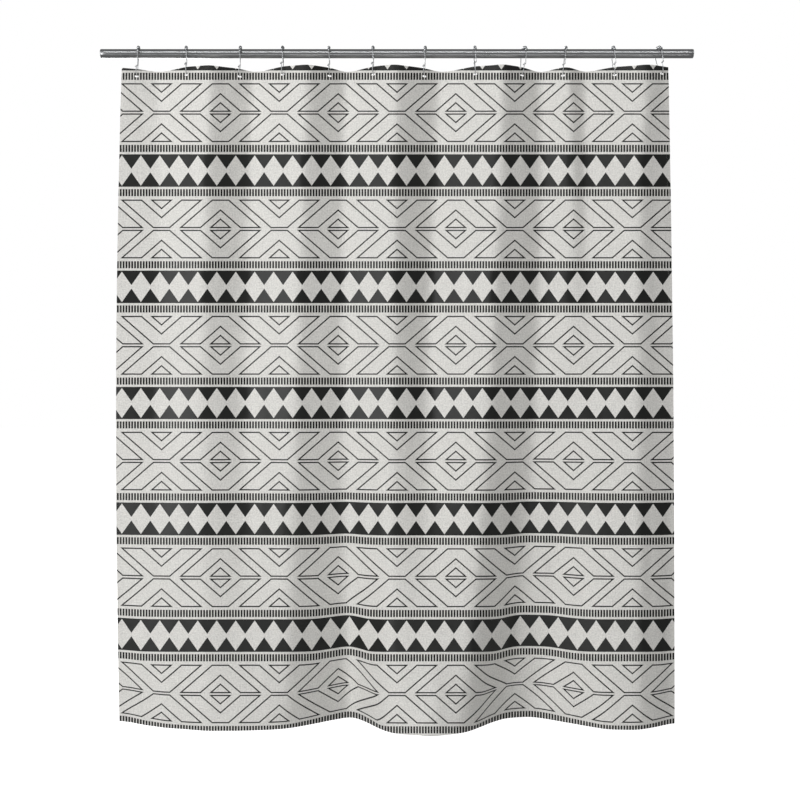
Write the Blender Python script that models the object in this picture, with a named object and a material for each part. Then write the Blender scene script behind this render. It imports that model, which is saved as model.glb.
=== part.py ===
"""A fabric shower curtain hung from a straight steel rod on twelve roller hooks.

Pieces: a tube with a plug in each end; twelve bent wire hooks, each with its set of rollers on
the rod; and one sheet of cloth with twelve buttonholes, which the hooks pass through.
Frame: the origin is the middle of the rod, on its axis. +X runs along the rod, +Z is up, and the
face of the cloth looks along -Y. "Depth" below is a distance along -Y, towards the room.
"""

import math

import bmesh
import bpy
import numpy as np
from mathutils import Euler, Vector

MM = 0.001

# Rod: 1 inch tube, as long as a bath alcove is wide.
ROD_LENGTH = 1696 * MM
ROD_RADIUS = 12.7 * MM
ROD_WALL = 1.0 * MM
PLUG_FLANGE = 2.0 * MM
PLUG_DEPTH = 18 * MM
SEAM_GAP = 0.3 * MM

# Cloth: a 71 x 74 inch sheet, hung in soft folds a little narrower than it was cut.
CLOTH_TOP = -40 * MM
CLOTH_HEIGHT = 1880 * MM
CLOTH_THICKNESS = 0.8 * MM
COLUMNS_PER_FOLD = 8
CLOTH_ROWS = 8
# How widely the folds are rounded at the top hem, and how much wider at the bottom hem.
FOLD_SOFTNESS = 11 * MM
FOLD_SOFTENING = 13 * MM

# Each fold line runs from the top hem to the bottom hem: its place along the rod and its depth,
# at the top, halfway down and at the bottom, in millimetres. The first and last are the edges.
FOLD_LINES = (
    ((-789, -806, -806), (0, -5, -48)),
    ((-690, -679, -675), (-34, -4, 20)),
    ((-530, -550, -531), (38, 33, 56)),
    ((-418, -433, -425), (-35, -18, 51)),
    ((-255, -286, -317), (45, 33, 37)),
    ((-149, -155, -126), (-35, -36, -95)),
    ((-3, -11, -25), (45, 35, 74)),
    ((123, 89, 86), (-35, -24, 107)),
    ((298, 261, 194), (46, 43, 72)),
    ((413, 401, 309), (-36, -50, -74)),
    ((487, 496, 405), (9, -22, -85)),
    ((541, 559, 593), (-31, -8, 42)),
    ((705, 679, 695), (43, 31, 44)),
    ((776, 795, 800), (2, -16, -24)),
)

# Hook: one wire, bent over the rod, down behind the cloth, through it and up to a latch in front.
WIRE_RADIUS = 1.1 * MM
ROLLER_RADIUS = 4.5 * MM
ROLLER_COUNT = 5
ROLLER_PITCH = math.radians(32)
ROLLER_CLEARANCE = 0.5 * MM
SLEEVE_RADIUS = 2.1 * MM
BORE_RADIUS = 1.7 * MM
ARCH_RADIUS = 19.2 * MM
ARCH_CENTRE = ROD_RADIUS + ROLLER_CLEARANCE + ROLLER_RADIUS - ARCH_RADIUS
HOOK_DROP = 62.4 * MM
FOOT_RADIUS = 14 * MM
FOOT_CENTRE = FOOT_RADIUS - HOOK_DROP
LATCH_TOP = -31 * MM
LATCH_RADIUS = 3.6 * MM
LATCH_TURN = math.radians(250)

# Buttonhole: a level slot whose upper edge hangs on the hook's foot.
SLOT_WIDTH = 9 * MM
SLOT_HEIGHT = 4.5 * MM
SLOT_CLEARANCE = 0.5 * MM

# Hooks never hang evenly: (shift from the even pitch in mm, sideways drift of the foot in mm,
# turn about the upright in degrees).
FIRST_HOOK = -741.5 * MM
HOOK_PITCH = 135.5 * MM
HOOK_POSES = (
    (0.0, -6.9, 8),
    (2.6, 1.7, 9),
    (21.5, -3.7, 6),
    (8.0, 0.3, 0),
    (4.9, 1.4, 3),
    (-4.1, 0.5, -2),
    (9.1, -2.0, -3),
    (15.6, 1.0, 2),
    (20.5, -5.0, 17),
    (3.8, -6.5, -3),
    (5.8, 3.4, 2),
    (0.0, 6.5, 16),
)


def clear_scene():
    for thing in list(bpy.data.objects):
        bpy.data.objects.remove(thing)


def make_material(name, colour, metallic, roughness):
    material = bpy.data.materials.new(name)
    material.use_nodes = True
    shader = material.node_tree.nodes["Principled BSDF"]
    shader.inputs["Base Color"].default_value = (*colour, 1)
    shader.inputs["Metallic"].default_value = metallic
    shader.inputs["Roughness"].default_value = roughness
    material.diffuse_color = (*colour, 1)
    return material


def add(name, data, material=None, parent=None):
    """Links one object that shows this mesh or curve."""
    thing = bpy.data.objects.new(name, data)
    bpy.context.scene.collection.objects.link(thing)
    if material and not data.materials:
        data.materials.append(material)
    thing.parent = parent
    return thing


def smooth(mesh):
    mesh.shade_smooth()
    mesh.set_sharp_from_angle(angle=math.radians(40))
    return mesh


def turned(name, outline, closed, segments=24):
    """A solid of revolution about X. The outline is (x, radius) points, joined into a ring if closed."""
    shape = bmesh.new()
    points = [shape.verts.new((x, 0, radius)) for x, radius in outline]
    last = len(points) if closed else len(points) - 1
    edges = [shape.edges.new((points[i], points[(i + 1) % len(points)])) for i in range(last)]
    bmesh.ops.spin(
        shape, geom=points + edges, axis=(1, 0, 0), cent=(0, 0, 0), angle=math.tau, steps=segments
    )
    bmesh.ops.remove_doubles(shape, verts=shape.verts, dist=1e-6)
    bmesh.ops.recalc_face_normals(shape, faces=shape.faces)
    mesh = bpy.data.meshes.new(name)
    shape.to_mesh(mesh)
    shape.free()
    return smooth(mesh)


def make_rod(steel, plug_finish):
    """The tube, and a plug that closes each end and bears on the wall."""
    half = ROD_LENGTH / 2 - PLUG_FLANGE - SEAM_GAP
    bore = ROD_RADIUS - ROD_WALL
    tube = turned(
        "rod_tube",
        ((-half, ROD_RADIUS), (half, ROD_RADIUS), (half, bore), (-half, bore)),
        closed=True,
    )
    add("rod_tube", tube, steel)
    neck = bore - SEAM_GAP
    plug = turned(
        "rod_plug",
        (
            (0, 0),
            (0, ROD_RADIUS - 0.8 * MM),
            (-0.8 * MM, ROD_RADIUS),
            (-PLUG_FLANGE, ROD_RADIUS),
            (-PLUG_FLANGE, neck),
            (-PLUG_DEPTH, neck),
            (-PLUG_DEPTH, 0),
        ),
        closed=False,
    )
    for side, turn in (("right", 0), ("left", math.pi)):
        cap = add(f"rod_plug_{side}", plug, plug_finish)
        cap.location.x = math.cos(turn) * ROD_LENGTH / 2
        cap.rotation_euler.z = turn


def through(values, share):
    """The smooth curve through three values, at share 0, a half and 1 of the way down."""
    top, middle, bottom = values
    return (
        top * (1 - share) * (1 - 2 * share)
        + middle * 4 * share * (1 - share)
        + bottom * share * (2 * share - 1)
    )


def fold_points(z):
    """Where the fold lines are at one height: places along the rod and depths, in metres."""
    share = (CLOTH_TOP - z) / CLOTH_HEIGHT
    places = [through(line[0], share) * MM for line in FOLD_LINES]
    depths = [through(line[1], share) * MM for line in FOLD_LINES]
    return np.array(places), np.array(depths)


def cloth_depth(x, z):
    """How far the cloth's middle surface stands towards the room, with its folds rounded off."""
    places, depths = fold_points(z)
    share = (CLOTH_TOP - z) / CLOTH_HEIGHT
    softness = FOLD_SOFTNESS + FOLD_SOFTENING * share * share
    steps = np.linspace(-2, 2, 9)
    weights = np.exp(-steps * steps / 2)
    near = [np.interp(x + s * softness, places, depths) for s in steps]
    return float(np.dot(weights, near) / weights.sum())


def hook_placement(index):
    """The hook's place on the rod, its rotation, and the point where its foot meets the cloth."""
    shift, drift, turn = HOOK_POSES[index]
    place = FIRST_HOOK + index * HOOK_PITCH + shift * MM
    lean = -math.asin(drift * MM / HOOK_DROP)
    foot_x = place + drift * MM
    depth = cloth_depth(foot_x, -HOOK_DROP)
    swing = -math.asin(depth / (HOOK_DROP * math.cos(lean)))
    rotation = Euler((swing, lean, math.radians(turn)), "ZYX")
    foot = rotation.to_matrix() @ Vector((0, 0, -HOOK_DROP))
    return Vector((place, 0, 0)), rotation, Vector((place, 0, 0)) + foot


def slot_cutter(feet):
    """One level slot with round ends for each hook's foot, as a single wire-shown cutter."""
    shape = bmesh.new()
    radius = SLOT_HEIGHT / 2
    straight = SLOT_WIDTH / 2 - radius
    for foot in feet:
        top = foot.z + WIRE_RADIUS + SLOT_CLEARANCE
        middle = Vector((foot.x, foot.y, top - SLOT_HEIGHT / 2))
        ring = []
        for step in range(12):
            angle = math.tau * (step + 0.5) / 12
            aside = math.copysign(straight, math.cos(angle))
            ring.append((aside + radius * math.cos(angle), radius * math.sin(angle)))
        near = [shape.verts.new(middle + Vector((x, -9 * MM, z))) for x, z in ring]
        far = [shape.verts.new(middle + Vector((x, 9 * MM, z))) for x, z in ring]
        shape.faces.new(near)
        shape.faces.new(list(reversed(far)))
        for i, vert in enumerate(near):
            after = (i + 1) % len(near)
            shape.faces.new((vert, far[i], far[after], near[after]))
    bmesh.ops.recalc_face_normals(shape, faces=shape.faces)
    mesh = bpy.data.meshes.new("buttonhole_cutter")
    shape.to_mesh(mesh)
    shape.free()
    cutter = add("buttonhole_cutter", mesh)
    cutter.hide_render = True
    cutter.display_type = "WIRE"
    return cutter


def make_cloth(cloth_finish, feet):
    """The sheet: a grid laid on the folds, thickened, then slotted for the hooks."""
    shape = bmesh.new()
    rows = []
    for r in range(CLOTH_ROWS + 1):
        z = CLOTH_TOP - CLOTH_HEIGHT * r / CLOTH_ROWS
        places, _ = fold_points(z)
        lines = np.arange(len(places)) * COLUMNS_PER_FOLD
        across = np.interp(np.arange(lines[-1] + 1), lines, places)
        rows.append([shape.verts.new((x, -cloth_depth(x, z), z)) for x in across])
    for upper, lower in zip(rows, rows[1:]):
        for c in range(len(upper) - 1):
            shape.faces.new((upper[c], lower[c], lower[c + 1], upper[c + 1]))
    mesh = bpy.data.meshes.new("curtain_cloth")
    shape.to_mesh(mesh)
    shape.free()
    cloth = add("curtain_cloth", smooth(mesh), cloth_finish)
    thicken = cloth.modifiers.new("thickness", "SOLIDIFY")
    thicken.thickness = CLOTH_THICKNESS
    thicken.offset = 0
    cut = cloth.modifiers.new("buttonholes", "BOOLEAN")
    cut.operation = "DIFFERENCE"
    cut.solver = "EXACT"
    cut.object = slot_cutter(feet)


def on_arch(angle, radius, centre, sideways=0.0):
    """A point of the hook's plane: angle 0 is straight up, and positive angles lean to the room."""
    return Vector((sideways, -radius * math.sin(angle), centre + radius * math.cos(angle)))


def hook_route():
    """The wire's centreline, from the tip in front of the cloth round to the latch's curl."""
    flare = math.asin((ARCH_RADIUS - FOOT_RADIUS) / (ARCH_CENTRE - FOOT_CENTRE))
    leg_top = on_arch(math.pi / 2 + flare, ARCH_RADIUS, ARCH_CENTRE)
    leg_foot = on_arch(math.pi / 2 + flare, FOOT_RADIUS, FOOT_CENTRE)

    def on_front_leg(z, sideways):
        share = (z - leg_top.z) / (leg_foot.z - leg_top.z)
        point = leg_top.lerp(leg_foot, share)
        return Vector((sideways, point.y, z))

    half_latch = LATCH_RADIUS / 2
    route = [on_front_leg(LATCH_TOP, -half_latch), on_front_leg(-0.0405, -half_latch)]
    front, back = math.pi / 2 + flare, math.tau * 3 / 4 - flare
    for step in range(9):
        share = step / 8
        angle = front + (back - front) * share
        drift = -half_latch * max(0.0, 1 - 2 * share)
        route.append(on_arch(angle, FOOT_RADIUS, FOOT_CENTRE, drift))
    for step in range(13):
        angle = -math.pi / 2 - flare + (math.pi + 2 * flare) * step / 12
        route.append(on_arch(angle, ARCH_RADIUS, ARCH_CENTRE))
    route.append(on_front_leg(-0.019, half_latch * 0.5))
    latch_z = LATCH_TOP - 5 * MM
    axis = on_front_leg(latch_z, -half_latch)
    for step in range(8):
        turn = LATCH_TURN * step / 7
        curl = Vector((math.cos(turn), -math.sin(turn), 0)) * LATCH_RADIUS
        route.append(axis + curl + Vector((0, 0, 1.6 * MM * (1 - step / 3.5))))
    return route


def make_wire_curve():
    curve = bpy.data.curves.new("hook_wire", "CURVE")
    curve.dimensions = "3D"
    curve.bevel_depth = WIRE_RADIUS
    curve.bevel_resolution = 1
    curve.use_fill_caps = True
    route = hook_route()
    spline = curve.splines.new("POLY")
    spline.points.add(len(route) - 1)
    for point, place in zip(spline.points, route):
        point.co = (*place, 1)
    return curve


def roller_profile():
    """(angle along the arch, radius) stations of the outside, over all the rollers in turn."""
    reach = math.sqrt(ROLLER_RADIUS**2 - SLEEVE_RADIUS**2)
    stations = []
    for index in range(ROLLER_COUNT):
        middle = (index - (ROLLER_COUNT - 1) / 2) * ROLLER_PITCH
        for share in (-1, -0.68, 0, 0.68, 1):
            along = reach * share
            radius = math.sqrt(ROLLER_RADIUS**2 - along**2)
            stations.append((middle + along / ARCH_RADIUS, radius))
    return stations


def make_roller_mesh(sides=8):
    """The rollers of one hook with the sleeves between them, as one body with a bore for the wire."""
    outside = roller_profile()
    first, last = outside[0][0], outside[-1][0]
    inside = [(angle, BORE_RADIUS) for angle in np.linspace(last, first, 11)]
    shape = bmesh.new()
    rings = []
    for angle, radius in outside + inside:
        centre = on_arch(angle, ARCH_RADIUS, ARCH_CENTRE)
        outward = (centre - Vector((0, 0, ARCH_CENTRE))).normalized()
        across = Vector((1, 0, 0))
        turns = [math.tau * (i + 0.5) / sides for i in range(sides)]
        rings.append(
            [
                shape.verts.new(centre + radius * (outward * math.cos(t) + across * math.sin(t)))
                for t in turns
            ]
        )
    for ring, after in zip(rings, rings[1:] + rings[:1]):
        for i in range(sides):
            j = (i + 1) % sides
            shape.faces.new((ring[i], ring[j], after[j], after[i]))
    bmesh.ops.recalc_face_normals(shape, faces=shape.faces)
    mesh = bpy.data.meshes.new("hook_rollers")
    shape.to_mesh(mesh)
    shape.free()
    return smooth(mesh)


def make_hooks(wire_finish, roller_finish):
    """The hooks, each hung from an empty on the rod's axis. Returns where their feet are."""
    wire, rollers = make_wire_curve(), make_roller_mesh()
    feet = []
    for index in range(len(HOOK_POSES)):
        place, rotation, foot = hook_placement(index)
        name = f"hook_{index + 1:02d}"
        hanger = bpy.data.objects.new(f"{name}_place", None)
        bpy.context.scene.collection.objects.link(hanger)
        hanger.location = place
        hanger.rotation_mode = "ZYX"
        hanger.rotation_euler = rotation
        add(f"{name}_wire", wire, wire_finish, hanger)
        add(f"{name}_rollers", rollers, roller_finish, hanger)
        feet.append(foot)
    return feet


def main():
    clear_scene()
    steel = make_material("rod_steel", (0.55, 0.56, 0.57), 1.0, 0.25)
    plug_finish = make_material("plug_steel", (0.5, 0.51, 0.52), 1.0, 0.3)
    wire_finish = make_material("wire_chrome", (0.62, 0.63, 0.64), 1.0, 0.15)
    roller_finish = make_material("roller_chrome", (0.6, 0.61, 0.62), 1.0, 0.12)
    cloth_finish = make_material("cloth", (0.68, 0.67, 0.64), 0.0, 0.85)
    make_rod(steel, plug_finish)
    feet = make_hooks(wire_finish, roller_finish)
    make_cloth(cloth_finish, feet)


main()
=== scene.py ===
"""The looks of a printed fabric shower curtain that hangs from a steel rod on twelve roller hooks.

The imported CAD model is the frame: the origin is the middle of the rod, on its axis, +X runs along
the rod, +Z is up, and the face of the cloth looks along -Y. "Depth" is a distance along -Y,
towards the room. Lengths are in metres. The print's sizes are in millimetres of its own map.
"""

import math

import bmesh
import bpy
import numpy as np
from mathutils import Euler, Matrix, Vector, noise


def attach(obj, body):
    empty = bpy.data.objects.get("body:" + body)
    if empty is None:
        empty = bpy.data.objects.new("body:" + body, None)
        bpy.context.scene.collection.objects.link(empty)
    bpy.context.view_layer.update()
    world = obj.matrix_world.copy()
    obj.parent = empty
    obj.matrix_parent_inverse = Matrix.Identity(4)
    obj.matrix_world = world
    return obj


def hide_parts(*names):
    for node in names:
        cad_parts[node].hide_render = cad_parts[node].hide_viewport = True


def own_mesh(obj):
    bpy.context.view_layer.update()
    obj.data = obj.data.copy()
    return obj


MM = 0.001

# Rod, as in the CAD model.
ROD_LENGTH = 1696 * MM
ROD_RADIUS = 12.7 * MM
ROD_WALL = 1.0 * MM
PLUG_FLANGE = 2.0 * MM
PLUG_DEPTH = 18 * MM
SEAM_GAP = 0.3 * MM
ROD_SIDES = 96
ROD_EDGE = 0.35 * MM
PLUG_EDGE = 0.9 * MM

# Cloth, as in the CAD model: a 71 x 74 inch sheet, hung a little narrower than it was cut.
CLOTH_TOP = -40 * MM
CLOTH_HEIGHT = 1880 * MM
# How widely the folds are rounded at the top hem, and how much wider at the bottom hem.
FOLD_SOFTNESS = 11 * MM
FOLD_SOFTENING = 13 * MM

# Each fold line runs from the top hem to the bottom hem: its place along the rod and its depth,
# at the top, halfway down and at the bottom, in millimetres. The first and last are the edges.
FOLD_LINES = (
    ((-789, -806, -806), (0, -5, -48)),
    ((-690, -679, -675), (-34, -4, 20)),
    ((-530, -550, -531), (38, 33, 56)),
    ((-418, -433, -425), (-35, -18, 51)),
    ((-255, -286, -317), (45, 33, 37)),
    ((-149, -155, -126), (-35, -36, -95)),
    ((-3, -11, -25), (45, 35, 74)),
    ((123, 89, 86), (-35, -24, 107)),
    ((298, 261, 194), (46, 43, 72)),
    ((413, 401, 309), (-36, -50, -74)),
    ((487, 496, 405), (9, -22, -85)),
    ((541, 559, 593), (-31, -8, 42)),
    ((705, 679, 695), (43, 31, 44)),
    ((776, 795, 800), (2, -16, -24)),
)

# Finer make of the cloth: grid, layers, hems and the small ripples that the fold lines leave out.
COLUMNS = 246
ROWS = 180
CLOTH_THICKNESS = 0.6 * MM
LAYER_GAP = 0.04 * MM
HEM_THICKNESS = 0.5 * MM
TOP_HEM_ROWS = 6
BOTTOM_HEM_ROWS = 2
SIDE_HEM_COLUMNS = 2
EDGE_SAG = 3.5 * MM
SAG_REACH = 160 * MM
HEM_DROP = 4 * MM
PULL_REACH = 0.26
PULL_WIDTH = 0.12
PULL_DEPTH = 1.5 * MM

# Hooks, as in the CAD model.
WIRE_RADIUS = 1.1 * MM
ROLLER_RADIUS = 4.5 * MM
ROLLER_COUNT = 5
ROLLER_PITCH = math.radians(32)
ROLLER_CLEARANCE = 0.5 * MM
SLEEVE_RADIUS = 2.1 * MM
BORE_RADIUS = 1.7 * MM
ARCH_RADIUS = 19.2 * MM
ARCH_CENTRE = ROD_RADIUS + ROLLER_CLEARANCE + ROLLER_RADIUS - ARCH_RADIUS
HOOK_DROP = 62.4 * MM
FOOT_RADIUS = 14 * MM
FOOT_CENTRE = FOOT_RADIUS - HOOK_DROP
LATCH_TOP = -31 * MM
LATCH_TIP = -40.5 * MM
LATCH_BEND = -19 * MM
LATCH_RISE = 1.6 * MM
LATCH_RADIUS = 3.6 * MM
LATCH_TURN = math.radians(250)
FIRST_HOOK = -741.5 * MM
HOOK_PITCH = 135.5 * MM
HOOK_POSES = (  # shift from the even pitch in mm, sideways drift of the foot in mm, turn in degrees
    (0.0, -6.9, 8),
    (2.6, 1.7, 9),
    (21.5, -3.7, 6),
    (8.0, 0.3, 0),
    (4.9, 1.4, 3),
    (-4.1, 0.5, -2),
    (9.1, -2.0, -3),
    (15.6, 1.0, 2),
    (20.5, -5.0, 17),
    (3.8, -6.5, -3),
    (5.8, 3.4, 2),
    (0.0, 6.5, 16),
)

# Buttonhole: a level slot whose upper edge hangs on the hook's foot. It is a little wider than in
# the CAD model, so that it clears the wire when the curtain is drawn open.
SLOT_WIDTH = 10.5 * MM
SLOT_HEIGHT = 4.5 * MM
SLOT_CLEARANCE = 0.5 * MM
SLOT_MARGIN = 4 * MM

# Print, in millimetres. Its rows run level across the upper part and follow the folds lower down.
PRINT_PERIOD = 333.2
BAND_CENTRE = -1.5
BAND_HALF = 46.6
DIAMOND_PITCH = 54.35
DIAMOND_HALF_WIDTH = 30.7
DIAMOND_HALF_HEIGHT = 43.5
DASH_PITCH = 8.245
DASH_SHARE = 0.66
DASH_ROW = (53.2, 73.5)
OUTLINE_CENTRE = -168.9
OUTLINE_GAP = 4.1
MOTIF_PITCH = 337.2
MOTIF_HEIGHT = 78.4
MOTIF_SLOPE = 1.146
MOTIF_SLANTS = (23.4, -32.5, -62.2)
MOTIF_NARROW = 23.4
MOTIF_TOOTH = 27.6
MOTIF_SHOULDER = (57.3, 113.2)
LINE_HALF = 1.85

# How far the print's rows follow the folds at a few heights, and the depth at which they stay level.
FOLLOW_HEIGHTS = (-1.5, -1.15, -0.95)
FOLLOW_SHARES = (1.3, 1, 0)
LEVEL_HEIGHTS = (-1.92, -1.72)
LEVEL_DEPTHS = (0.045, -0.010)
FOLLOW_EASE = 0.004

CAMERA_PLACE = Vector((0.0086, -3.183, -0.992))
FLOOR_LEVEL = -2.03
FLOOR_RADIUS = 40

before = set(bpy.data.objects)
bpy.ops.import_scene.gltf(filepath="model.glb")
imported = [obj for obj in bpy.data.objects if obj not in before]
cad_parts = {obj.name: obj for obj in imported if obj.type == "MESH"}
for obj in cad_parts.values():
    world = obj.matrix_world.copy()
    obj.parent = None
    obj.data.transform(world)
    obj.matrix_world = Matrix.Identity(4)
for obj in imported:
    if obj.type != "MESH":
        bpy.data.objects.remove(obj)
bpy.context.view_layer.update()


# ---------------------------------------------------------------- materials


class Field:
    """A shader value. Arithmetic and comparisons on it make Math nodes."""

    def __init__(self, tree, socket):
        self.tree = tree
        self.socket = socket

    def math(self, operation, *others):
        node = self.tree.nodes.new("ShaderNodeMath")
        node.operation = operation
        for slot, value in zip(node.inputs, (self, *others)):
            if isinstance(value, Field):
                self.tree.links.new(value.socket, slot)
            else:
                slot.default_value = value
        return Field(self.tree, node.outputs[0])

    def __add__(self, other):
        return self.math("ADD", other)

    def __sub__(self, other):
        return self.math("SUBTRACT", other)

    def __mul__(self, other):
        return self.math("MULTIPLY", other)

    def __lt__(self, other):
        return self.math("LESS_THAN", other)

    def __gt__(self, other):
        return self.math("GREATER_THAN", other)

    def __and__(self, other):
        return self.math("MULTIPLY", other)

    def __or__(self, other):
        return self.math("MAXIMUM", other)

    def __abs__(self):
        return self.math("ABSOLUTE")

    def from_nearest(self, pitch):
        """The distance to the nearest multiple of pitch."""
        return (self * (1 / pitch)).math("PINGPONG", 0.5) * pitch


def new_material(name, colour, roughness, metallic=0.0):
    """A Principled material: (material, node tree, shader)."""
    material = bpy.data.materials.new(name)
    material.use_nodes = True
    tree = material.node_tree
    shader = tree.nodes["Principled BSDF"]
    shader.inputs["Base Color"].default_value = (*colour, 1)
    shader.inputs["Roughness"].default_value = roughness
    shader.inputs["Metallic"].default_value = metallic
    material.diffuse_color = (*colour, 1)
    return material, tree, shader


def add_node(tree, kind, links=(), **settings):
    """A node with its inputs set or linked by name, and its properties set."""
    node = tree.nodes.new(kind)
    for name, value in settings.items():
        setattr(node, name, value)
    for name, value in dict(links).items():
        if isinstance(value, Field):
            value = value.socket
        if isinstance(value, bpy.types.NodeSocket):
            tree.links.new(value, node.inputs[name])
        else:
            node.inputs[name].default_value = value
    return node


def map_fields(tree, name, scale):
    """The two numbers of a UV map, scaled."""
    place = add_node(tree, "ShaderNodeUVMap", uv_map=name).outputs[0]
    split = add_node(tree, "ShaderNodeSeparateXYZ", {"Vector": place})
    return [Field(tree, split.outputs[i]) * scale for i in (0, 1)]


def noise_field(tree, vector, scale, detail=2.0, roughness=0.5):
    node = add_node(
        tree,
        "ShaderNodeTexNoise",
        {"Vector": vector, "Scale": scale, "Detail": detail, "Roughness": roughness},
    )
    return Field(tree, node.outputs["Fac"])


def stretched(tree, vector, scales):
    """A vector scaled along each axis."""
    node = add_node(tree, "ShaderNodeVectorMath", {0: vector}, operation="MULTIPLY")
    node.inputs[1].default_value = scales
    return node.outputs[0]


def mixed(tree, factor, low, high):
    """The colour from low to high by factor. Either colour may be a socket."""
    node = tree.nodes.new("ShaderNodeMix")
    node.data_type = "RGBA"
    tree.links.new(factor.socket, node.inputs[0])
    for slot, colour in ((node.inputs[6], low), (node.inputs[7], high)):
        if isinstance(colour, bpy.types.NodeSocket):
            tree.links.new(colour, slot)
        else:
            slot.default_value = (*colour, 1)
    return node.outputs[2]


def bump(tree, shader, height, strength, distance):
    node = add_node(
        tree, "ShaderNodeBump", {"Height": height, "Strength": strength, "Distance": distance}
    )
    tree.links.new(node.outputs[0], shader.inputs["Normal"])


def chevron_lines(across, along):
    """The lines of one half motif: across from its centre line, along from its narrow end."""
    slant = across - along * MOTIF_SLOPE
    steepness = 1 / math.hypot(1, MOTIF_SLOPE)
    drawn = None
    for offset in MOTIF_SLANTS:
        line = abs(slant - offset) * steepness < LINE_HALF
        drawn = drawn | line if drawn else line
    inside = (along > -LINE_HALF) & (along < MOTIF_HEIGHT + LINE_HALF)
    near, far = MOTIF_SHOULDER
    shoulder = abs(across - (near + far) / 2) < (far - near) / 2
    wide_end = (abs(along - MOTIF_HEIGHT) < LINE_HALF) & (shoulder | (across < MOTIF_TOOTH))
    narrow_end = (abs(along) < LINE_HALF) & (across < MOTIF_NARROW)
    return (drawn & inside) | wide_end | narrow_end


def print_field(tree):
    """1 where the print's ink is: bands of diamonds, rows of dashes, and outlined motifs."""
    across, up = map_fields(tree, "print", 1 / MM)
    from_band = (up - BAND_CENTRE).from_nearest(PRINT_PERIOD)
    from_diamond = (across - DIAMOND_PITCH / 2).from_nearest(DIAMOND_PITCH)
    around = from_diamond * (1 / DIAMOND_HALF_WIDTH) + from_band * (1 / DIAMOND_HALF_HEIGHT)
    band = (from_band < BAND_HALF) & (around > 1)
    low, high = DASH_ROW
    dash = across.from_nearest(DASH_PITCH) < DASH_PITCH * DASH_SHARE / 2
    dashes = (from_band > low) & (from_band < high) & dash
    height = (up - OUTLINE_CENTRE).from_nearest(PRINT_PERIOD) - OUTLINE_GAP
    from_motif = across.from_nearest(MOTIF_PITCH)
    upright = chevron_lines(from_motif, height)
    turned_over = chevron_lines(from_motif * -1 + MOTIF_PITCH / 2, height * -1 + MOTIF_HEIGHT)
    return band | dashes | upright | turned_over


def weave_field(across, along, pitch):
    """The height of a plain weave: threads in turn over and under."""
    warp = (across * (math.pi / pitch)).math("SINE")
    weft = (along * (math.pi / pitch)).math("SINE")
    over = warp * weft > 0
    return over * abs(warp) + (over * -1 + 1) * abs(weft)


def cloth_material(name, ink_share, ground, ink):
    """Woven polyester. The print's ink covers the ground colour by ink_share."""
    material, tree, shader = new_material(name, ground, 0.82)
    across, along = map_fields(tree, "fabric", 1 / MM)
    place = add_node(tree, "ShaderNodeUVMap", uv_map="fabric").outputs[0]
    clouds = noise_field(tree, place, 9, 3)
    warp_slubs = noise_field(tree, stretched(tree, place, (420, 34, 0)), 1, 2)
    weft_slubs = noise_field(tree, stretched(tree, place, (34, 420, 0)), 1, 2)
    grain = noise_field(tree, place, 230, 3, 0.65)
    weave = weave_field(across, along, 0.9)
    # The weave term in the tone is painted shade: the base colour is a little darker between the threads
    # and lighter on their crowns, as the bump is.
    tone = (
        (clouds - 0.5) * 0.05
        + (warp_slubs - 0.5) * 0.28
        + (weft_slubs - 0.5) * 0.28
        + (grain - 0.5) * 0.85
        + (weave - 0.6) * 0.06
        + 1
    )
    inked = print_field(tree) * ink_share
    flat = mixed(tree, inked, ground, ink)
    shade = add_node(tree, "ShaderNodeVectorMath", {0: flat}, operation="SCALE")
    tree.links.new(tone.socket, shade.inputs["Scale"])
    tree.links.new(shade.outputs[0], shader.inputs["Base Color"])
    rough = inked * -0.42 + (grain - 0.5) * 0.1 + 0.82
    tree.links.new(rough.socket, shader.inputs["Roughness"])
    shader.inputs["Specular IOR Level"].default_value = 0.30
    shader.inputs["Sheen Weight"].default_value = 0.03
    shader.inputs["Sheen Roughness"].default_value = 0.45
    relief = weave * 0.5 + (warp_slubs + weft_slubs) * 0.4
    bump(tree, shader, relief, 0.35, 0.25 * MM)
    return material


def thread_material():
    """Twisted sewing thread, a little whiter than the cloth, with painted shade in the grooves of its
    twist.
    """
    material, tree, shader = new_material("sewing_thread", (0.74, 0.73, 0.70), 0.6)
    place = add_node(tree, "ShaderNodeTexCoord").outputs["Object"]
    split = add_node(tree, "ShaderNodeSeparateXYZ", {"Vector": place})
    x, y, z = (Field(tree, split.outputs[i]) for i in range(3))
    twist = ((x + y + z) * (2 * math.pi / (0.5 * MM))).math("SINE")
    # Painted shade: the colour is darker in the twist's grooves and lighter on its raised plies, as the
    # bump is.
    colour = mixed(tree, twist * 0.5 + 0.5, (0.60, 0.59, 0.56), (0.80, 0.79, 0.76))
    tree.links.new(colour, shader.inputs["Base Color"])
    shader.inputs["Sheen Weight"].default_value = 0.3
    bump(tree, shader, twist, 0.5, 0.1 * MM)
    return material


def metal_material(name, dark, light, roughness, grain, wear, relief=0.03):
    """Bare metal with a grain: stretched noise by the grain's scales, and patches of wear."""
    material, tree, shader = new_material(name, light, roughness, 1.0)
    place = add_node(tree, "ShaderNodeTexCoord").outputs["Object"]
    lines = noise_field(tree, stretched(tree, place, grain), 1, 4, 0.7)
    patches = noise_field(tree, place, wear, 3, 0.6)
    shade = lines * 0.65 + patches * 0.35
    contrast = add_node(tree, "ShaderNodeMapRange", {"Value": shade, "From Min": 0.3, "From Max": 0.7})
    level = Field(tree, contrast.outputs[0])
    tree.links.new(mixed(tree, level, dark, light), shader.inputs["Base Color"])
    rough = (lines - 0.5) * 0.08 + (patches - 0.5) * 0.12 + roughness
    tree.links.new(rough.socket, shader.inputs["Roughness"])
    bump(tree, shader, lines, relief, 0.05 * MM)
    return material


# ---------------------------------------------------------------- making objects


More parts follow.
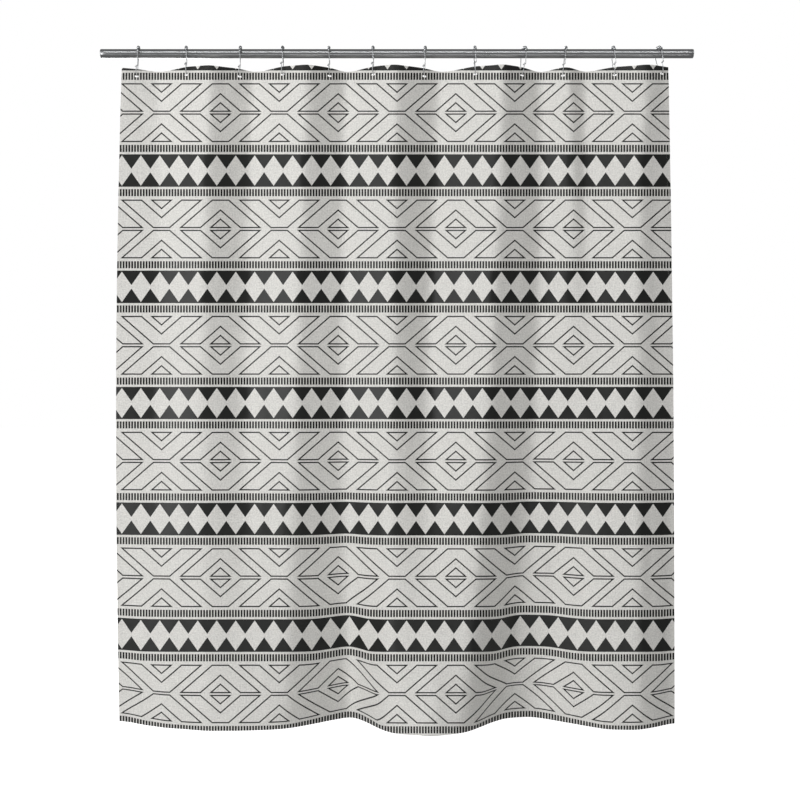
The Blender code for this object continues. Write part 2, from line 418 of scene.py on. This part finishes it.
def add(name, mesh, material, *others):
    thing = bpy.data.objects.new(name, mesh)
    bpy.context.scene.collection.objects.link(thing)
    for each in (material, *others):
        mesh.materials.append(each)
    return thing


def smooth(mesh, angle=40):
    mesh.shade_smooth()
    mesh.set_sharp_from_angle(angle=math.radians(angle))
    return mesh


def mesh_of(name, verts, faces):
    mesh = bpy.data.meshes.new(name)
    mesh.from_pydata([tuple(v) for v in verts], [], faces)
    mesh.update()
    return mesh


def closed_mesh(name, verts, faces):
    """A mesh with its faces turned outwards."""
    mesh = mesh_of(name, verts, faces)
    shape = bmesh.new()
    shape.from_mesh(mesh)
    bmesh.ops.recalc_face_normals(shape, faces=shape.faces)
    shape.to_mesh(mesh)
    shape.free()
    return smooth(mesh, 35)


def applied(thing):
    """The object with its modifiers applied to its mesh."""
    depsgraph = bpy.context.evaluated_depsgraph_get()
    mesh = bpy.data.meshes.new_from_object(
        thing.evaluated_get(depsgraph), preserve_all_data_layers=True, depsgraph=depsgraph
    )
    thing.modifiers.clear()
    thing.data = mesh
    return thing


def ring_faces(rings, closed=False):
    """Quads between neighbouring rings of vertex numbers."""
    faces = []
    pairs = list(zip(rings, rings[1:] + rings[:1])) if closed else list(zip(rings, rings[1:]))
    for ring, after in pairs:
        for i in range(len(ring)):
            j = (i + 1) % len(ring)
            faces.append((ring[i], ring[j], after[j], after[i]))
    return faces


def revolved(outline, sides, place=Matrix.Identity(4)):
    """Points and faces of a ring-shaped solid: the closed outline of (along, radius) turns about X."""
    verts, rings = [], []
    for along, radius in outline:
        first = len(verts)
        rings.append(list(range(first, first + sides)))
        for i in range(sides):
            turn = math.tau * i / sides
            point = Vector((along, radius * math.cos(turn), radius * math.sin(turn)))
            verts.append(place @ point)
    return verts, ring_faces(rings, closed=True)


# ---------------------------------------------------------------- the cloth's shape


def through(values, share):
    """The smooth curve through three values, at share 0, a half and 1 of the way down."""
    top, middle, bottom = values
    return (
        top * (1 - share) * (1 - 2 * share)
        + middle * 4 * share * (1 - share)
        + bottom * share * (2 * share - 1)
    )


def fold_points(z):
    """Where the fold lines are at one height: places along the rod and depths."""
    share = (CLOTH_TOP - z) / CLOTH_HEIGHT
    places = [through(line[0], share) * MM for line in FOLD_LINES]
    depths = [through(line[1], share) * MM for line in FOLD_LINES]
    return np.array(places), np.array(depths)


def cloth_depth(x, z):
    """How far the cloth stands towards the room, with its folds rounded off."""
    places, depths = fold_points(z)
    share = (CLOTH_TOP - z) / CLOTH_HEIGHT
    softness = FOLD_SOFTNESS + FOLD_SOFTENING * share * share
    steps = np.linspace(-2, 2, 9)
    weights = np.exp(-steps * steps / 2)
    near = [np.interp(x + s * softness, places, depths) for s in steps]
    return float(np.dot(weights, near) / weights.sum())


def hook_placement(index):
    """The hook's place on the rod, its rotation, and the point where its foot meets the cloth."""
    shift, drift, turn = HOOK_POSES[index]
    place = FIRST_HOOK + index * HOOK_PITCH + shift * MM
    lean = -math.asin(drift * MM / HOOK_DROP)
    foot_x = place + drift * MM
    depth = cloth_depth(foot_x, -HOOK_DROP)
    swing = -math.asin(depth / (HOOK_DROP * math.cos(lean)))
    rotation = Euler((swing, lean, math.radians(turn)), "ZYX")
    foot = rotation.to_matrix() @ Vector((0, 0, -HOOK_DROP))
    return Vector((place, 0, 0)), rotation, Vector((place, 0, 0)) + foot


HOOKS = [hook_placement(i) for i in range(len(HOOK_POSES))]
FEET = [foot for _, _, foot in HOOKS]


def ripple(x, z):
    """Small unevenness of the depth: soft creases that run down, and pulls below each hook."""
    fall = (CLOTH_TOP - z) / CLOTH_HEIGHT
    long_creases = noise.noise(Vector((x / 0.055, z / 0.75, 3.1))) * 3.2 * MM
    short_creases = noise.noise(Vector((x / 0.024, z / 0.30, 8.7))) * 0.9 * MM
    depth = (long_creases + short_creases) * (0.6 + 0.4 * fall)
    for foot in FEET:
        below = foot.z - z
        aside = abs(x - foot.x)
        if -0.03 < below < PULL_REACH and aside < PULL_WIDTH:
            spread = 0.006 + 0.34 * max(below, 0)
            side = (aside - spread) / (0.007 + 0.10 * max(below, 0))
            fade = max(0.0, 1 - below / PULL_REACH) * min(1.0, (below + 0.03) / 0.05)
            depth += PULL_DEPTH * math.exp(-side * side) * fade
    return depth


def edge_sag(x, z):
    """How far the cloth hangs down: between two hooks by its edge, and by its weight at the hem."""
    fade = max(0.0, 1 - (CLOTH_TOP - z) / SAG_REACH)
    if fade == 0:
        return HEM_DROP * ((CLOTH_TOP - z) / CLOTH_HEIGHT) ** 4
    for left, right in zip(FEET, FEET[1:]):
        if left.x <= x <= right.x:
            share = (x - left.x) / (right.x - left.x)
            return EDGE_SAG * fade * fade * math.sin(math.pi * share) ** 2
    return 0.0


def on_cloth(x, z):
    """The point of the cloth's middle surface for a place along the rod and a height."""
    return Vector((x, -cloth_depth(x, z) - ripple(x, z), z - edge_sag(x, z)))


def cloth_normal(x, z):
    """The cloth's normal towards the room."""
    step = 2 * MM
    across = on_cloth(x + step, z) - on_cloth(x - step, z)
    up = on_cloth(x, z + step) - on_cloth(x, z - step)
    return across.cross(up).normalized()


def row_height(row):
    return CLOTH_TOP - CLOTH_HEIGHT * row / ROWS


def row_places(row):
    """The grid's places along one row."""
    places, _ = fold_points(row_height(row))
    return np.linspace(places[0], places[-1], COLUMNS + 1)


def slot_middle(foot):
    """The middle of the buttonhole whose upper end hangs on this foot, as (x, z)."""
    return foot.x, foot.z + WIRE_RADIUS + SLOT_CLEARANCE - SLOT_HEIGHT / 2


def slot_point(foot, x, z):
    """The point of the buttonhole's outline nearest to (x, z)."""
    middle_x, middle_z = slot_middle(foot)
    straight = SLOT_WIDTH / 2 - SLOT_HEIGHT / 2
    core = middle_x + min(max(x - middle_x, -straight), straight)
    away = Vector((x - core, z - middle_z)).normalized() * SLOT_HEIGHT / 2
    return core + away.x, middle_z + away.y


def slot_window(foot):
    """The grid cells that give way to a buttonhole: (first, last column, first, last row)."""
    x, z = slot_middle(foot)
    pitch = CLOTH_HEIGHT / ROWS
    upper = math.floor((CLOTH_TOP - z - SLOT_HEIGHT / 2 - SLOT_MARGIN) / pitch)
    lower = math.ceil((CLOTH_TOP - z + SLOT_HEIGHT / 2 + SLOT_MARGIN) / pitch)
    places = row_places(upper)
    column = int(np.abs(places - x).argmin())
    return column - 2, column + 2, upper, lower


WINDOWS = [slot_window(foot) for foot in FEET]


def cloth_grid(columns, rows):
    """Part of the cloth's middle surface: [(x, z)] of each vertex and the faces, with buttonholes."""
    first_column, last_column = columns
    first_row, last_row = rows
    spots, number = [], {}
    for row in range(first_row, last_row + 1):
        z, places = row_height(row), row_places(row)
        for column in range(first_column, last_column + 1):
            number[column, row] = len(spots)
            spots.append((float(places[column]), z))
    cut, faces = set(), []
    for foot, (left, right, upper, lower) in zip(FEET, WINDOWS):
        if left < first_column or right > last_column or upper < first_row or lower > last_row:
            continue
        cut.update((c, r) for c in range(left, right) for r in range(upper, lower))
        edge = [(c, lower) for c in range(left, right)]
        edge += [(right, r) for r in range(lower, upper, -1)]
        edge += [(c, upper) for c in range(right, left, -1)]
        edge += [(left, r) for r in range(upper, lower)]
        rings = [[number[spot] for spot in edge]]
        for share in (0.55, 1.0):
            ring = []
            for corner in rings[0]:
                x, z = spots[corner]
                slot_x, slot_z = slot_point(foot, x, z)
                ring.append(len(spots))
                spots.append((x + (slot_x - x) * share, z + (slot_z - z) * share))
            rings.append(ring)
        faces += ring_faces(rings)
    for row in range(first_row, last_row):
        for column in range(first_column, last_column):
            if (column, row) not in cut:
                faces.append(
                    (
                        number[column, row],
                        number[column, row + 1],
                        number[column + 1, row + 1],
                        number[column + 1, row],
                    )
                )
    used = sorted({corner for face in faces for corner in face})
    renumbered = {old: new for new, old in enumerate(used)}
    return (
        [spots[old] for old in used],
        [tuple(renumbered[corner] for corner in face) for face in faces],
    )


def seen_height(point, depth):
    """The height at which a point shows on the plane of the rod if it stood at this depth."""
    reach = -CAMERA_PLACE.y
    return CAMERA_PLACE.z + (point.z - CAMERA_PLACE.z) * reach / (reach - depth)


def print_place(point):
    """Where a point of the cloth is on the print: the print looks even from the front."""
    reach = -CAMERA_PLACE.y
    depth = -point.y
    across = CAMERA_PLACE.x + (point.x - CAMERA_PLACE.x) * reach / (reach - depth)
    up = seen_height(point, depth)
    level_depth = float(np.interp(point.z, LEVEL_HEIGHTS, LEVEL_DEPTHS))
    excess = up - seen_height(point, level_depth)
    follow = float(np.interp(point.z, FOLLOW_HEIGHTS, FOLLOW_SHARES))
    raised = 0.5 * (excess + math.sqrt(excess * excess + FOLLOW_EASE**2))
    return across, up - raised * follow


def arc_table():
    """The length along the cloth at each grid place of every tenth row, measured from the middle."""
    table = []
    for row in range(0, ROWS + 1, 10):
        z, places = row_height(row), row_places(row)
        line = [Vector((x, -cloth_depth(x, z))) for x in places]
        steps = [0.0] + [(b - a).length for a, b in zip(line, line[1:])]
        length = np.cumsum(steps)
        table.append((z, places, length - length[-1] / 2))
    return table


ARCS = arc_table()


def fabric_place(x, z):
    """Where a point of the cloth is on the flat fabric."""
    _, places, length = min(ARCS, key=lambda row: abs(row[0] - z))
    return float(np.interp(x, places, length)), z


def add_maps(mesh, spots, points):
    """The UV maps of the print and of the flat fabric."""
    corners = np.empty(len(mesh.loops), np.int32)
    mesh.loops.foreach_get("vertex_index", corners)
    for name, places in (
        ("print", [print_place(p) for p in points]),
        ("fabric", [fabric_place(x, z) for x, z in spots]),
    ):
        layer = mesh.uv_layers.new(name=name)
        values = np.array(places, np.float32)[corners]
        layer.uv.foreach_set("vector", values.ravel())


def cloth_layer(name, columns, rows, setback, thickness, materials):
    """A closed layer of the cloth, its front face set back from the middle surface."""
    spots, faces = cloth_grid(columns, rows)
    points = [on_cloth(x, z) for x, z in spots]
    mesh = mesh_of(name, points, faces)
    add_maps(mesh, spots, points)
    for vert, normal in zip(mesh.vertices, [v.vector.copy() for v in mesh.vertex_normals]):
        vert.co -= normal * setback
    layer = add(name, smooth(mesh), *materials)
    thicken = layer.modifiers.new("thickness", "SOLIDIFY")
    thicken.thickness = thickness
    thicken.offset = -1
    thicken.material_offset = 1
    thicken.material_offset_rim = 1
    applied(layer)
    smooth(layer.data, 50)
    return layer


# ---------------------------------------------------------------- sewing


def stitch_line(spots, outward, verts, faces, pitch=3.0 * MM, length=2.4 * MM):
    """Adds stitches along a line of (x, z) spots. outward is how far they lie from the middle."""
    points = [on_cloth(x, z) for x, z in spots]
    steps = [0.0] + [(b - a).length for a, b in zip(points, points[1:])]
    travelled = np.cumsum(steps)
    line_x = [spot[0] for spot in spots]
    line_z = [spot[1] for spot in spots]
    count = int(travelled[-1] / pitch)
    radius = 0.22 * MM
    for index in range(count):
        start = (index + 0.5) * pitch
        ends = [
            (np.interp(at, travelled, line_x), np.interp(at, travelled, line_z))
            for at in (start - length / 2, start + length / 2)
        ]
        a, b = (on_cloth(float(x), float(z)) for x, z in ends)
        normal = cloth_normal(float(ends[0][0]), float(ends[0][1])) * math.copysign(1, outward)
        side = (b - a).normalized().cross(normal)
        surface = normal * abs(outward)
        middle = (a + b) / 2 + surface
        first = len(verts)
        verts += [
            a + surface - normal * radius * 0.5,
            b + surface - normal * radius * 0.5,
            middle + normal * radius,
            middle + side * radius,
            middle - normal * radius,
            middle - side * radius,
        ]
        for i in range(4):
            j = (i + 1) % 4
            faces.append((first, first + 2 + j, first + 2 + i))
            faces.append((first + 1, first + 2 + i, first + 2 + j))


def make_stitching(thread):
    """The seams that hold the hems, on the face and on the back."""
    front = CLOTH_THICKNESS / 2
    back = -(CLOTH_THICKNESS / 2 + LAYER_GAP + HEM_THICKNESS)
    top_row = TOP_HEM_ROWS - 0.35
    bottom_row = ROWS - BOTTOM_HEM_ROWS + 0.3
    seams = []
    for row in (top_row, bottom_row):
        z = row_height(row)
        places = row_places(row)
        seams.append([(float(x), z) for x in places[1:-1]])
    for column in (SIDE_HEM_COLUMNS - 0.4, COLUMNS - SIDE_HEM_COLUMNS + 0.4):
        seam = []
        for row in range(1, ROWS):
            places = row_places(row)
            x = np.interp(column, np.arange(COLUMNS + 1), places)
            seam.append((float(x), row_height(row)))
        seams.append(seam)
    verts, faces = [], []
    for seam in seams:
        for outward in (front, back):
            stitch_line(seam, outward, verts, faces)
    return add("hem_stitching", smooth(mesh_of("hem_stitching", verts, faces), 70), thread)


def make_buttonholes(thread):
    """The close stitching round each buttonhole's edge."""
    straight = SLOT_WIDTH / 2 - SLOT_HEIGHT / 2
    stitches = 64
    sides = 8
    verts, faces = [], []
    back = CLOTH_THICKNESS / 2 + LAYER_GAP + HEM_THICKNESS
    middle_depth = (CLOTH_THICKNESS / 2 - back) / 2
    for foot in FEET:
        x, z = slot_middle(foot)
        outline = []
        for index in range(stitches):
            turn = math.tau * (index + 0.5) / stitches
            aside = math.copysign(straight, math.cos(turn))
            away = Vector((math.cos(turn), math.sin(turn)))
            edge = away * SLOT_HEIGHT / 2
            outline.append((x + aside + edge.x, z + edge.y, away))
        rings = []
        for index, (edge_x, edge_z, away) in enumerate(outline):
            swell = 1.0 if index % 2 else 0.84
            normal = cloth_normal(edge_x, edge_z)
            centre_x, centre_z = edge_x + away.x * 0.45 * MM, edge_z + away.y * 0.45 * MM
            centre = on_cloth(centre_x, centre_z) + normal * middle_depth
            outer = on_cloth(centre_x + away.x * MM, centre_z + away.y * MM)
            across = (outer - on_cloth(centre_x, centre_z)).normalized()
            ring = []
            for side in range(sides):
                turn = math.tau * (side + 0.5) / sides
                wide = 0.62 * MM * swell * math.cos(turn)
                deep = (back / 2 + 0.62 * MM) * swell * math.sin(turn)
                ring.append(len(verts))
                verts.append(centre + across * wide + normal * deep)
            rings.append(ring)
        faces += ring_faces(rings, closed=True)
    return add("buttonhole_stitching", smooth(mesh_of("buttonhole_stitching", verts, faces), 60), thread)


def make_curtain():
    """The sheet with its hems and sewing, on the curtain's body."""
    ink = (0.009, 0.0095, 0.0085)
    face = cloth_material("printed_face", 1.0, (0.70, 0.69, 0.66), ink)
    reverse = cloth_material("plain_reverse", 0.13, (0.72, 0.715, 0.69), ink)
    thread = thread_material()
    sheet = cloth_layer(
        "curtain_sheet",
        (0, COLUMNS),
        (0, ROWS),
        -CLOTH_THICKNESS / 2,
        CLOTH_THICKNESS,
        (face, reverse),
    )
    setback = CLOTH_THICKNESS / 2 + LAYER_GAP
    middle_rows = (TOP_HEM_ROWS, ROWS - BOTTOM_HEM_ROWS)
    last_columns = (COLUMNS - SIDE_HEM_COLUMNS, COLUMNS)
    hems = [
        cloth_layer(name, columns, rows, setback, HEM_THICKNESS, (reverse, reverse))
        for name, columns, rows in (
            ("top_hem", (0, COLUMNS), (0, TOP_HEM_ROWS)),
            ("bottom_hem", (0, COLUMNS), (ROWS - BOTTOM_HEM_ROWS, ROWS)),
            ("left_hem", (0, SIDE_HEM_COLUMNS), middle_rows),
            ("right_hem", last_columns, middle_rows),
        )
    ]
    sewing = [make_stitching(thread), make_buttonholes(thread)]
    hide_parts("curtain_cloth")
    for piece in (sheet, *hems, *sewing):
        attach(piece, "curtain")
        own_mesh(piece)


# ---------------------------------------------------------------- hooks


def on_arch(angle, radius, centre, sideways=0.0):
    """A point of the hook's plane: angle 0 is straight up, and positive angles lean to the room."""
    return Vector((sideways, -radius * math.sin(angle), centre + radius * math.cos(angle)))


def hook_route():
    """The wire's centreline, from the tip in front of the cloth round to the latch's curl."""
    flare = math.asin((ARCH_RADIUS - FOOT_RADIUS) / (ARCH_CENTRE - FOOT_CENTRE))
    leg_top = on_arch(math.pi / 2 + flare, ARCH_RADIUS, ARCH_CENTRE)
    leg_foot = on_arch(math.pi / 2 + flare, FOOT_RADIUS, FOOT_CENTRE)

    def on_front_leg(z, sideways):
        share = (z - leg_top.z) / (leg_foot.z - leg_top.z)
        point = leg_top.lerp(leg_foot, share)
        return Vector((sideways, point.y, z))

    half_latch = LATCH_RADIUS / 2
    route = [on_front_leg(LATCH_TOP, -half_latch), on_front_leg(LATCH_TIP, -half_latch)]
    front, back = math.pi / 2 + flare, math.tau * 3 / 4 - flare
    for step in range(17):
        share = step / 16
        angle = front + (back - front) * share
        drift = -half_latch * max(0.0, 1 - 2 * share)
        route.append(on_arch(angle, FOOT_RADIUS, FOOT_CENTRE, drift))
    for step in range(31):
        angle = -math.pi / 2 - flare + (math.pi + 2 * flare) * step / 30
        route.append(on_arch(angle, ARCH_RADIUS, ARCH_CENTRE))
    route.append(on_front_leg(LATCH_BEND, half_latch * 0.5))
    axis = on_front_leg(LATCH_TOP - 5 * MM, -half_latch)
    for step in range(16):
        turn = LATCH_TURN * step / 15
        curl = Vector((math.cos(turn), -math.sin(turn), 0)) * LATCH_RADIUS
        route.append(axis + curl + Vector((0, 0, LATCH_RISE * (1 - step / 7.5))))
    return route


def rounded_route(route, spacing=1.2 * MM, passes=6):
    """The route at even spacing, with its corners smoothed."""
    points = np.array([tuple(p) for p in route])
    lengths = np.r_[0, np.cumsum(np.linalg.norm(np.diff(points, axis=0), axis=1))]
    count = int(lengths[-1] / spacing)
    at = np.linspace(0, lengths[-1], count + 1)
    line = np.stack([np.interp(at, lengths, points[:, i]) for i in range(3)], axis=1)
    for _ in range(passes):
        line[1:-1] = (line[:-2] + 2 * line[1:-1] + line[2:]) / 4
    return line


def make_wire_mesh():
    """The bent wire, with rounded tips."""
    line = rounded_route(hook_route())
    curve = bpy.data.curves.new("bent_wire", "CURVE")
    curve.dimensions = "3D"
    curve.bevel_depth = WIRE_RADIUS
    curve.bevel_resolution = 3
    curve.use_fill_caps = True
    spline = curve.splines.new("POLY")
    spline.points.add(len(line) - 1)
    for point, place in zip(spline.points, line):
        point.co = (*place, 1)
    points = list(spline.points)
    for point, radius in ((points[0], 0.45), (points[1], 0.9), (points[-2], 0.9), (points[-1], 0.45)):
        point.radius = radius
    thing = bpy.data.objects.new("bent_wire", curve)
    bpy.context.scene.collection.objects.link(thing)
    evaluated = thing.evaluated_get(bpy.context.evaluated_depsgraph_get())
    mesh = bpy.data.meshes.new_from_object(evaluated)
    bpy.data.objects.remove(thing)
    return smooth(mesh, 50)


def make_beads_mesh():
    """Five rollers and the spacers between them, threaded on the arch."""
    lip = 0.35 * MM
    reach = math.sqrt(ROLLER_RADIUS**2 - SLEEVE_RADIUS**2)
    tilt = math.asin(SLEEVE_RADIUS / ROLLER_RADIUS)
    ball = []
    for step in range(15):
        angle = tilt + (math.pi - 2 * tilt) * step / 14
        ball.append((-ROLLER_RADIUS * math.cos(angle), ROLLER_RADIUS * math.sin(angle)))
    ball += [(reach, BORE_RADIUS + lip), (reach - lip, BORE_RADIUS)]
    ball += [(lip - reach, BORE_RADIUS), (-reach, BORE_RADIUS + lip)]
    half_gap = ROLLER_PITCH * ARCH_RADIUS / 2 - reach - 0.08 * MM
    spacer = [
        (-half_gap, SLEEVE_RADIUS - 0.2 * MM),
        (-half_gap * 0.7, SLEEVE_RADIUS),
        (half_gap * 0.7, SLEEVE_RADIUS),
        (half_gap, SLEEVE_RADIUS - 0.2 * MM),
        (half_gap, BORE_RADIUS),
        (-half_gap, BORE_RADIUS),
    ]
    verts, faces = [], []
    for index in range(2 * ROLLER_COUNT - 1):
        angle = (index / 2 - (ROLLER_COUNT - 1) / 2) * ROLLER_PITCH
        centre = on_arch(angle, ARCH_RADIUS, ARCH_CENTRE)
        along = Vector((0, -math.cos(angle), -math.sin(angle)))
        outward = Vector((0, -math.sin(angle), math.cos(angle)))
        turn = Matrix((along, outward.cross(along) * -1, outward)).transposed().to_4x4()
        profile, sides = (spacer, 16) if index % 2 else (ball, 28)
        points, ring = revolved(profile, sides, Matrix.Translation(centre) @ turn)
        faces += [tuple(corner + len(verts) for corner in face) for face in ring]
        verts += points
    return closed_mesh("beads", verts, faces)


def make_hooks():
    chrome = metal_material(
        "drawn_wire", (0.40, 0.41, 0.42), (0.52, 0.53, 0.54), 0.38, (900, 900, 900), 60, 0.01
    )
    polish = metal_material(
        "polished_rollers", (0.34, 0.35, 0.36), (0.46, 0.47, 0.48), 0.24, (500, 500, 500), 90, 0.01
    )
    wire, beads = make_wire_mesh(), make_beads_mesh()
    wire.materials.append(chrome)
    beads.materials.append(polish)
    for index, (place, rotation, _) in enumerate(HOOKS):
        name = f"hook_{index + 1:02d}"
        for part, mesh, node, slot in (
            ("bent_wire", wire, "wire", "wire_chrome"),
            ("beads", beads, "rollers", "roller_chrome"),
        ):
            piece = bpy.data.objects.new(f"{name}_{part}", mesh)
            bpy.context.scene.collection.objects.link(piece)
            piece.matrix_world = Matrix.Translation(place) @ rotation.to_matrix().to_4x4()
            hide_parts(f"{name}_{node}")
            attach(piece, name)


# ---------------------------------------------------------------- rod


def make_rod():
    steel = metal_material(
        "brushed_steel", (0.28, 0.285, 0.29), (0.36, 0.365, 0.37), 0.29, (3, 500, 500), 9, 0.01
    )
    end_steel = metal_material(
        "turned_plug", (0.26, 0.265, 0.27), (0.44, 0.445, 0.45), 0.32, (900, 60, 60), 60
    )
    half = ROD_LENGTH / 2 - PLUG_FLANGE - SEAM_GAP
    bore = ROD_RADIUS - ROD_WALL
    outline = [
        (-half, ROD_RADIUS - ROD_EDGE),
        (-half + ROD_EDGE * 0.3, ROD_RADIUS - ROD_EDGE * 0.3),
        (-half + ROD_EDGE, ROD_RADIUS),
    ]
    outline += [(half * share, ROD_RADIUS) for share in np.linspace(-0.98, 0.98, 25)]
    outline += [
        (half - ROD_EDGE, ROD_RADIUS),
        (half - ROD_EDGE * 0.3, ROD_RADIUS - ROD_EDGE * 0.3),
        (half, ROD_RADIUS - ROD_EDGE),
        (half, bore),
        (-half, bore),
    ]
    verts, faces = revolved(outline, ROD_SIDES)
    barrel = add("rod_barrel", closed_mesh("rod_barrel", verts, faces), steel)
    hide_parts("rod_tube")
    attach(barrel, "rod")
    neck = bore - SEAM_GAP
    for side, sign in (("left", -1), ("right", 1)):
        face = sign * ROD_LENGTH / 2
        profile = [(0, 0.0)]
        for step in range(6):
            turn = math.pi / 2 * step / 5
            inward = PLUG_EDGE * (1 - math.cos(turn))
            profile.append((inward, ROD_RADIUS - PLUG_EDGE * (1 - math.sin(turn))))
        profile += [
            (PLUG_FLANGE, ROD_RADIUS),
            (PLUG_FLANGE, neck),
            (PLUG_DEPTH - 1 * MM, neck),
            (PLUG_DEPTH, neck - 1 * MM),
            (PLUG_DEPTH, 0.0),
        ]
        outline = [(face - sign * along, radius) for along, radius in profile]
        verts, faces = revolved(outline[1:-1], ROD_SIDES)
        faces = faces[:-ROD_SIDES]
        faces.append(tuple(range(ROD_SIDES)))
        faces.append(tuple(range(len(verts) - ROD_SIDES, len(verts))))
        plug = add(f"rod_end_{side}", closed_mesh("rod_end", verts, faces), end_steel)
        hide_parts(f"rod_plug_{side}")
        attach(plug, "rod")


# ---------------------------------------------------------------- studio


def area_light(name, place, target, size, power):
    data = bpy.data.lights.new(name, "AREA")
    data.shape = "RECTANGLE"
    data.size, data.size_y = size
    data.energy = power
    light = bpy.data.objects.new(name, data)
    bpy.context.scene.collection.objects.link(light)
    light.location = place
    light.rotation_euler = (Vector(target) - Vector(place)).to_track_quat("-Z", "Y").to_euler()


def make_studio():
    """A white room: grey ambient light, four soft lights, a pale floor, and the camera."""
    world = bpy.data.worlds.new("studio")
    bpy.context.scene.world = world
    world.use_nodes = True
    tree = world.node_tree
    ambient = tree.nodes["Background"]
    ambient.inputs["Color"].default_value = (1, 1, 1, 1)
    ambient.inputs["Strength"].default_value = 0.28
    white = add_node(tree, "ShaderNodeBackground", {"Color": (1, 1, 1, 1), "Strength": 1.0})
    path = add_node(tree, "ShaderNodeLightPath")
    pick = add_node(tree, "ShaderNodeMixShader", {0: path.outputs["Is Camera Ray"]})
    tree.links.new(ambient.outputs[0], pick.inputs[1])
    tree.links.new(white.outputs[0], pick.inputs[2])
    tree.links.new(pick.outputs[0], tree.nodes["World Output"].inputs[0])
    area_light("key", (-4.0, -3.2, -0.85), (0, 0, -1.0), (1.6, 3.0), 133)
    area_light("strip", (0, -2.6, 1.35), (0, 0, -0.1), (4.5, 0.30), 44)
    area_light("fill", (0.3, -2.0, -1.95), (0, 0, -1.8), (3.2, 0.4), 11.5)
    area_light("rear", (-2.0, 3.9, 0.0), (0, 0, -0.95), (1.6, 2.4), 150)
    floor_material, tree, shader = new_material("pale_floor", (0.82, 0.82, 0.82), 0.9)
    place = add_node(tree, "ShaderNodeTexCoord").outputs["Object"]
    reach = add_node(tree, "ShaderNodeVectorMath", {0: place}, operation="LENGTH").outputs["Value"]
    glow = add_node(
        tree,
        "ShaderNodeMapRange",
        {"Value": reach, "From Min": 2.3, "From Max": 4.0, "To Min": 0.62, "To Max": 1.0},
    )
    shader.inputs["Emission Color"].default_value = (1, 1, 1, 1)
    tree.links.new(glow.outputs[0], shader.inputs["Emission Strength"])
    rim = [
        (FLOOR_RADIUS * math.cos(turn), FLOOR_RADIUS * math.sin(turn), FLOOR_LEVEL)
        for turn in (math.tau * i / 64 for i in range(64))
    ]
    mesh = mesh_of("floor", rim, [tuple(range(len(rim)))])
    floor = add("floor", mesh, floor_material)
    floor.visible_diffuse = False
    floor.visible_glossy = False
    scene = bpy.context.scene
    scene.view_settings.view_transform = "Standard"
    data = bpy.data.cameras.new("camera")
    data.lens = 50
    data.sensor_width = 36
    camera = bpy.data.objects.new("camera", data)
    scene.collection.objects.link(camera)
    camera.location = CAMERA_PLACE
    camera.rotation_euler = (math.pi / 2, 0, 0)
    scene.camera = camera


make_studio()
make_rod()
make_hooks()
make_curtain()
